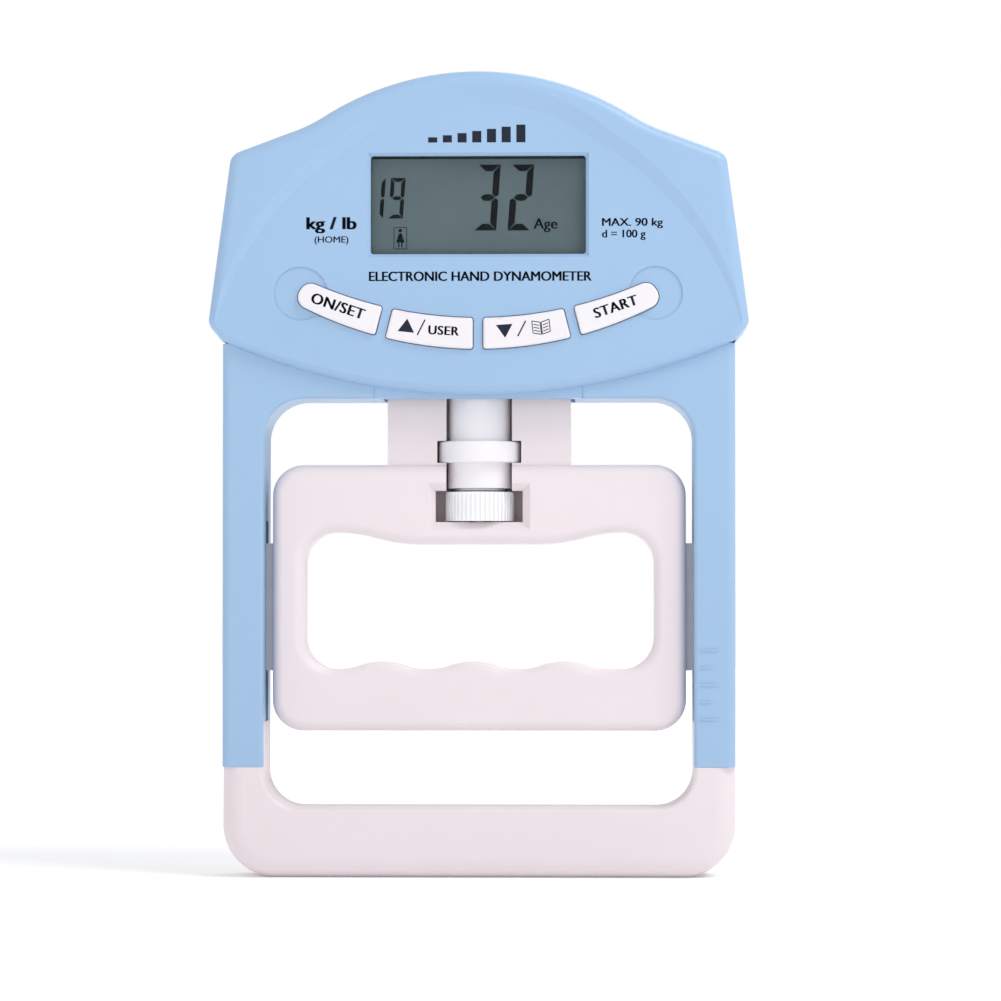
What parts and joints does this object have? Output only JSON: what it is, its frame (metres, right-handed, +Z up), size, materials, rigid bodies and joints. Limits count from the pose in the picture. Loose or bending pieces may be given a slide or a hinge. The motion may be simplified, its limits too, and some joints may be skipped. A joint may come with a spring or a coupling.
{
  "type": "hand dynamometer",
  "caption": "Upright electronic hand dynamometer: blue head with display and keys, blue arms, white palm bar and adjustable grip handle.",
  "frame": {"origin": "middle of the flat underside of the palm bar", "axes": "+Z up from the palm bar to the head, -Y out of the display, +X to the reader's right"},
  "size_m": [0.125, 0.0299, 0.1865],
  "materials": {
    "blue_shell": "satin moulded ABS",
    "white_shell": "satin moulded ABS",
    "white_sleeve": "satin moulded acetal",
    "wheel_plastic": "satin moulded acetal, knurled",
    "grey_runner": "satin",
    "key_caps": "glossy moulded caps",
    "plungers": "satin",
    "clear_pane": "clear",
    "display_glass": "polariser film",
    "board_laminate": "solder mask",
    "chip_resin": "epoxy",
    "contact_rubber": "matte",
    "switch_metal": "plated",
    "zinc_steel": "zinc plated",
    "beam_aluminium": "milled",
    "gauge_film": "film",
    "tray_plastic": "moulded ABS",
    "contact_nickel": "nickel plated",
    "cell_jacket": "printed steel can"
  },
  "bodies": {
    "frame": {"front_cover": "blue_shell", "rear_cover": "blue_shell", "frame_front": "blue_shell", "frame_rear": "blue_shell", "palm_bar_front": "white_shell", "palm_bar_rear": "white_shell", "load_cell": "beam_aluminium", "strain_gauges": "gauge_film", "load_cell_bracket": "zinc_steel", "bracket_screws": "zinc_steel", "lcd_window": "clear_pane", "lcd_panel": "display_glass", "main_board": "board_laminate", "chip_cover": "chip_resin", "contact_strips": "contact_rubber", "switch_bodies": "switch_metal", "battery_tray": "tray_plastic", "battery_contacts": "contact_nickel", "battery_cells": "cell_jacket", "battery_springs": "contact_nickel", "shell_screws": "zinc_steel", "arm_screws": "zinc_steel", "palm_screws": "zinc_steel"},
    "pull": {"pull_link": "zinc_steel", "link_nut": "zinc_steel"},
    "handle": {"handle_front": "white_shell", "handle_rear": "white_shell", "runner_left": "grey_runner", "runner_right": "grey_runner", "guide_sleeve": "white_sleeve", "thrust_washer": "zinc_steel", "handle_screws": "zinc_steel"},
    "wheel": {"thumbwheel": "wheel_plastic", "adjusting_screw": "zinc_steel"},
    "door": {"battery_door": "blue_shell"},
    "key_on_set": {"button_on_set": "key_caps", "switch_plunger_on_set": "plungers"},
    "key_user": {"button_user": "key_caps", "switch_plunger_user": "plungers"},
    "key_memory": {"button_memory": "key_caps", "switch_plunger_memory": "plungers"},
    "key_start": {"button_start": "key_caps", "switch_plunger_start": "plungers"}
  },
  "joints": [
    {"name": "grip_pull", "type": "slide", "parent": "frame", "child": "pull", "axis": [0, 0, -1], "range_m": [0, 0.0006], "stiffness_N_per_m": 20000, "deforming": ["load_cell"]},
    {"name": "span_adjust", "type": "slide", "parent": "pull", "child": "handle", "axis": [0, 0, 1], "range_m": [-0.0108, 0.0048]},
    {"name": "wheel_turn", "type": "hinge", "parent": "handle", "child": "wheel", "pos_m": [0, 0, 0.086], "axis": [0, 0, 1], "range_deg": [-1950, 870]},
    {"name": "door_slide", "type": "slide", "parent": "frame", "child": "door", "axis": [0, 0, -1], "range_m": [0, 0.058]},
    {"name": "press_on_set", "type": "slide", "parent": "frame", "child": "key_on_set", "axis": [0, 1, 0], "range_m": [0, 0.0005], "stiffness_N_per_m": 400, "springref_m": -0.0005},
    {"name": "press_user", "type": "slide", "parent": "frame", "child": "key_user", "axis": [0, 1, 0], "range_m": [0, 0.0005], "stiffness_N_per_m": 400, "springref_m": -0.0005},
    {"name": "press_memory", "type": "slide", "parent": "frame", "child": "key_memory", "axis": [0, 1, 0], "range_m": [0, 0.0005], "stiffness_N_per_m": 400, "springref_m": -0.0005},
    {"name": "press_start", "type": "slide", "parent": "frame", "child": "key_start", "axis": [0, 1, 0], "range_m": [0, 0.0005], "stiffness_N_per_m": 400, "springref_m": -0.0005}
  ],
  "couplings": [
    {"joint": "wheel_turn", "follows": "span_adjust", "rad_per_m": 3141.6}
  ]
}
